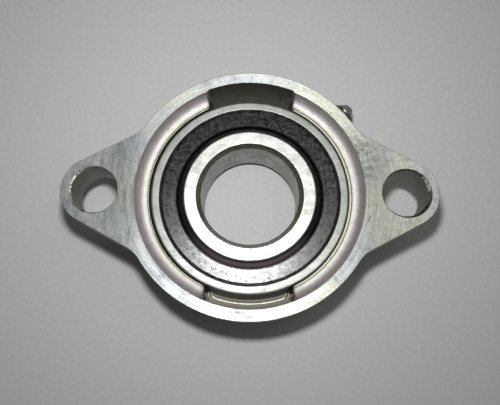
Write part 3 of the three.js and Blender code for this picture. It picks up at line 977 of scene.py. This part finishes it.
def rubber_look():
    """Moulded black rubber: blotched, grey with wear in places, rough grain, dust specks and small pits.

    It is shinier towards -Y. Its lip is duller than its face, and carries a painted brownish reflection
    towards -Y.
    """
    look = Look("seal_rubber")
    grain = look.noise(look.place, 4.6, 4.0, 0.72)
    blotch = look.noise(look.place, 0.85, 5.0, 0.7)
    wear = look.noise(look.place, 0.16, 3.0, 0.5)
    specks = look.between(look.noise(look.place, 3.0, 1.0, 0.3), 0.68, 0.71)
    pits = look.between(look.noise(look.place, 1.15, 1.0, 0.3), 0.72, 0.75)
    tone = look.mix(look.between(blotch, 0.46, 0.66), (0.001, 0.001, 0.0015), (0.022, 0.022, 0.023))
    tone = look.mix(look.between(wear, 0.5, 0.68, 0.0, 0.5), tone, (0.02, 0.021, 0.022))
    tone = look.mix(look.math("MULTIPLY", specks, 0.5), tone, (0.12, 0.12, 0.11))
    _, y, _ = look.xyz()
    lip = look.between(look.radius(), *SEAL_LIP_R)
    tone = look.mix(lip, tone, (0.005, 0.004, 0.0045))
    low = look.between(y, 3.0, -14.0)
    lip_low = look.between(y, -9.5, -17.0)
    # Painted reflection: brownish tint on the lip towards -Y.
    tone = look.mix(look.math("MULTIPLY", lip, lip_low), tone, (0.05, 0.037, 0.039))
    fine = look.between(grain, 0.3, 0.7, 0.0, 0.06)
    rough = look.math("ADD", look.between(blotch, 0.35, 0.7, 0.3, 0.22), fine)
    rough = look.math("MULTIPLY_ADD", lip, 0.16, rough)
    shine = look.between(blotch, 0.36, 0.66, look.between(low, 0.0, 1.0, 0.1, 0.5), 0.85)
    dulled = look.math("MULTIPLY", lip, look.between(lip_low, 0.0, 1.0, 0.9, 0.4))
    shine = look.math("MULTIPLY", shine, look.math("SUBTRACT", 1.0, dulled))
    normal = look.bump(grain, 0.3, 0.03)
    normal = look.bump(look.math("SUBTRACT", 1.0, pits), 0.6, 0.12, normal)
    look.set(color=tone, metal=0.0, rough=rough, normal=normal, specular=shine)
    return look.material


def polished_look():
    """Polished balls: near mirror, with a faint haze."""
    look = Look("ball_steel")
    haze = look.noise(look.place, 1.2, 3.0, 0.5)
    tone = look.mix(look.between(haze, 0.35, 0.7), (0.74, 0.74, 0.74), (0.86, 0.86, 0.85))
    look.set(color=tone, metal=1.0, rough=look.between(haze, 0.3, 0.7, 0.04, 0.1))
    return look.material


def pressed_look():
    """Pressed strip steel: drawn grain and slight staining."""
    look = Look("pressed_steel")
    grain = look.noise(look.rings(5.0, 0.5), 1.0, 3.0, 0.6)
    stain = look.noise(look.place, 0.8, 4.0, 0.6)
    tone = look.mix(look.between(stain, 0.35, 0.7), (0.50, 0.49, 0.46), (0.66, 0.66, 0.64))
    rough = look.between(grain, 0.3, 0.7, 0.25, 0.42)
    look.set(color=tone, metal=1.0, rough=rough, normal=look.bump(grain, 0.25, 0.01))
    return look.material


def nipple_look():
    """Dark oiled steel with bright rubbed edges and grime."""
    look = Look("nipple_steel")
    grime = look.noise(look.place, 1.1, 5.0, 0.7)
    rub = look.node("ShaderNodeNewGeometry").outputs["Pointiness"]
    tone = look.mix(look.between(grime, 0.35, 0.65), (0.10, 0.097, 0.085), (0.36, 0.35, 0.33))
    tone = look.mix(look.between(rub, 0.52, 0.6), tone, (0.6, 0.6, 0.57))
    rough = look.between(grime, 0.3, 0.7, 0.2, 0.45)
    look.set(color=tone, metal=0.9, rough=rough, normal=look.bump(grime, 0.3, 0.04))
    return look.material


def floor_look():
    """A plain pale matt table."""
    look = Look("floor")
    grain = look.noise(look.place, 0.9, 3.0, 0.6)
    tone = look.mix(look.between(grain, 0.3, 0.7), (0.405, 0.41, 0.405), (0.45, 0.455, 0.445))
    look.set(color=tone, rough=0.6)
    return look.material


def housing_surface(c, normal):
    """Which of the housing's materials a face has, from its centre in millimetres and its normal."""
    r = math.hypot(c.x, c.y)
    from_bolt = math.hypot(abs(c.x) - BOLT_X, c.y)
    if c.z > HEIGHT - 0.05:
        return MACHINED
    if from_bolt < BOLT_HOLE_R + 1.2 and c.z > HEIGHT - 1.2 and normal.z > 0.3:
        return SUNK
    # Painted shade: the walls of the gap round the insert take the black gap material.
    if LIP_R - 0.24 < r < SEAT_R - 0.25 and LIP_LOW_Z - 0.1 < c.z < RECESS_FLOOR_Z - 0.01:
        return GAP_SHADE
    if on_slot_floor(c, r):
        return SLOT_FLOOR
    if r < RECESS_R + 0.3 and bored(c, r):
        return BORED
    return CAST


def bored(c, r):
    in_slot = abs(c.x) < SLOT_HALF_WIDTH - 0.02 and abs(c.y) > SLOT_Y and r > SEAT_R + 0.02
    return (c.z > RECESS_FLOOR_Z - 0.2 or r < SEAT_R + 0.05) and not in_slot


def on_slot_floor(c, r):
    """The floor of the slot towards -Y with its rounded foot."""
    height = c.z - SLOT_FLOOR_Z[1]
    in_slot = c.y < -SLOT_Y and abs(c.x) < SLOT_HALF_WIDTH
    return in_slot and SEAT_R - 0.3 < r < SLOT_FOOT_R[1] + 0.05 and -0.05 < height < SLOT_FOOT_ROUND


def darken_chamfers(ring, material):
    """Gives the bore's two chamfers their own material."""
    ring.data.materials.append(material)
    for face in ring.data.polygons:
        c = face.center / MM
        if 0.5 < abs(face.normal.z) < 0.93 and math.hypot(c.x, c.y) < CHAMFER_R + 0.1:
            face.material_index = 1


def shade_sphere_edges(ring, material):
    """Painted shade on the outer ring's spherical surface next to its two faces, where it lies in the gap.
    """
    ring.data.materials.append(material)
    for face in ring.data.polygons:
        c = face.center / MM
        outside = math.hypot(c.x, c.y) > 24.9 and abs(face.normal.z) < 0.6
        # These faces take the painted gap shade.
        if outside and abs(c.z - CENTRE_Z) > 5.2:
            face.material_index = 1


# ---------------------------------------------------------------- stage

def floor():
    half = 1200
    corners = [(-half, -half, 0), (half, -half, 0), (half, half, 0), (-half, half, 0)]
    obj = new_object("floor", corners, [(0, 1, 2, 3)])
    obj.data.materials.append(floor_look())


def area_light(name, centre, size, power, aim=(0, 0, 10), color=(1, 1, 1)):
    """A soft rectangular lamp; centre, size and aim in millimetres."""
    lamp = bpy.data.lights.new(name, "AREA")
    lamp.shape = "RECTANGLE"
    lamp.size, lamp.size_y = (s * MM for s in size)
    lamp.energy = power
    lamp.color = color
    obj = bpy.data.objects.new(name, lamp)
    obj.location = Vector(centre) * MM
    obj.rotation_euler = (Vector(aim) - Vector(centre)).to_track_quat("-Z", "Y").to_euler()
    obj.visible_camera = False
    bpy.context.scene.collection.objects.link(obj)


def sky_ramp(tree, value, span, low, high):
    """value mapped from the span to low..high, clamped."""
    ramp = tree.nodes.new("ShaderNodeMapRange")
    for number, socket in zip((*span, low, high), ramp.inputs[1:5]):
        socket.default_value = number
    tree.links.new(value, ramp.inputs["Value"])
    return ramp.outputs[0]


def sky():
    """A plain studio room: pale walls all round, a dim ceiling that is lighter to the right."""
    world = bpy.data.worlds.new("world")
    world.use_nodes = True
    tree = world.node_tree
    coords = tree.nodes.new("ShaderNodeTexCoord")
    towards = tree.nodes.new("ShaderNodeVectorMath")
    towards.operation = "DOT_PRODUCT"
    towards.inputs[1].default_value = SKY_TOWARDS
    tree.links.new(coords.outputs["Generated"], towards.inputs[0])
    parts = tree.nodes.new("ShaderNodeSeparateXYZ")
    tree.links.new(coords.outputs["Generated"], parts.inputs[0])
    total = tree.nodes.new("ShaderNodeMath")
    ceiling = sky_ramp(tree, towards.outputs["Value"], SKY_SPREAD, SKY_LOW, SKY_HIGH)
    walls = sky_ramp(tree, parts.outputs["Z"], HORIZON_BAND, HORIZON, 0.0)
    tree.links.new(ceiling, total.inputs[0])
    tree.links.new(walls, total.inputs[1])
    background = tree.nodes["Background"]
    background.inputs["Color"].default_value = (0.97, 1.0, 0.98, 1)
    tree.links.new(total.outputs[0], background.inputs["Strength"])
    bpy.context.scene.world = world


def lights():
    """A small hard lamp right above the unit, a broad weak one to the right, and the room."""
    area_light("key", (-3.5, 0.5, 153), (15, 15), 0.245, (-15, 88, 0))
    area_light("overhead", (320, 230, 760), (420, 420), 0.38, color=(1.0, 0.98, 0.86))
    sky()


def camera():
    """A camera above and slightly in front of the unit, looking down."""
    tilt, roll = rad(CAMERA_TILT), rad(CAMERA_ROLL)
    place = (Matrix.Rotation(-tilt, 3, "X") @ Matrix.Rotation(roll, 3, "Z")).transposed()
    shift = Vector((*CAMERA_SHIFT, -CAMERA_DISTANCE))
    lens = bpy.data.cameras.new("camera")
    lens.lens = CAMERA_LENS
    lens.sensor_width = 36
    lens.clip_start = 0.01
    obj = bpy.data.objects.new("camera", lens)
    obj.matrix_world = place.to_4x4()
    obj.location = (Vector((0, 0, HEIGHT)) - place @ shift) * MM
    bpy.context.scene.collection.objects.link(obj)
    bpy.context.scene.camera = obj
    bpy.context.scene.view_settings.view_transform = "Standard"


# ---------------------------------------------------------------- assembly

def mount_piece(obj, body, node, material=None):
    """Lets a piece ride on its body in place of its CAD node, with one material unless it has its own."""
    if material is not None:
        obj.data.materials.clear()
        obj.data.materials.append(material)
    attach(obj, body)
    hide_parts(node)


def centre_of(node):
    """The middle of a CAD node's box, in metres."""
    low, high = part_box(node)
    return (low + high) / 2


def add_housing(gap_shade):
    housing = build_housing()
    looks = {
        MACHINED: machined_look(),
        CAST: cast_look(),
        BORED: recess_look(),
        SUNK: sink_look(),
        GAP_SHADE: gap_shade,
        SLOT_FLOOR: slot_floor_look(),
    }
    housing.data.materials.clear()
    for index in sorted(looks):
        housing.data.materials.append(looks[index])
    for face in housing.data.polygons:
        face.material_index = housing_surface(face.center / MM, face.normal)
    mount_piece(housing, "housing_body", "housing")
    mount_piece(nipple_body(), "housing_body", "nipple_body", nipple_look())


def add_valve(ball_steel, pressed):
    """The check ball, and its spring, which gets a mesh of its own."""
    spring = nipple_spring()
    mount_piece(spring, "housing_body", "nipple_spring", pressed)
    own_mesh(spring)
    ball = sphere("NippleCheckBall", CHECK_BALL_R, centre_of("nipple_check_ball"))
    mount_piece(ball, "nipple_valve", "nipple_check_ball", ball_steel)


def add_insert(ball_steel, pressed, gap_shade):
    rubber = rubber_look()
    outer = ring_look("outer_ring_steel", (0.19, 0.20, 0.185), (0.30, 0.30, 0.285), 0.4, 0.5)
    inner = ring_look("inner_ring_steel", (0.25, 0.265, 0.24), (0.48, 0.48, 0.46), 0.36, 0.46)
    shell = outer_ring()
    mount_piece(shell, "outer_race", "outer_ring", outer)
    shade_sphere_edges(shell, gap_shade)
    ring = inner_ring()
    mount_piece(ring, "inner_race", "inner_ring", inner)
    darken_chamfers(ring, chamfer_look())
    for side, word in ((1, "back"), (-1, "front")):
        title = word.capitalize()
        mount_piece(seal("Seal" + title, side), "outer_race", "seal_" + word, rubber)
        washer = seal_washer("SealWasher" + title, side)
        mount_piece(washer, "outer_race", "seal_washer_" + word, pressed)
        mount_piece(cage_half("Cage" + title, side), "cage", "cage_" + word, pressed)
    for i in range(BALL_COUNT):
        name = "ball_%d" % (i + 1)
        ball = sphere("Ball%d" % (i + 1), BALL_R, centre_of(name))
        mount_piece(ball, name + "_body", name, ball_steel)
        pin = rivet("CageRivet%d" % (i + 1), 360 / BALL_COUNT * (i + 0.5))
        mount_piece(pin, "cage", "cage_rivet_%d" % (i + 1), pressed)


ball_steel = polished_look()
pressed = pressed_look()
gap_shade = gap_shade_look()
add_housing(gap_shade)
add_valve(ball_steel, pressed)
add_insert(ball_steel, pressed, gap_shade)
floor()
lights()
camera()
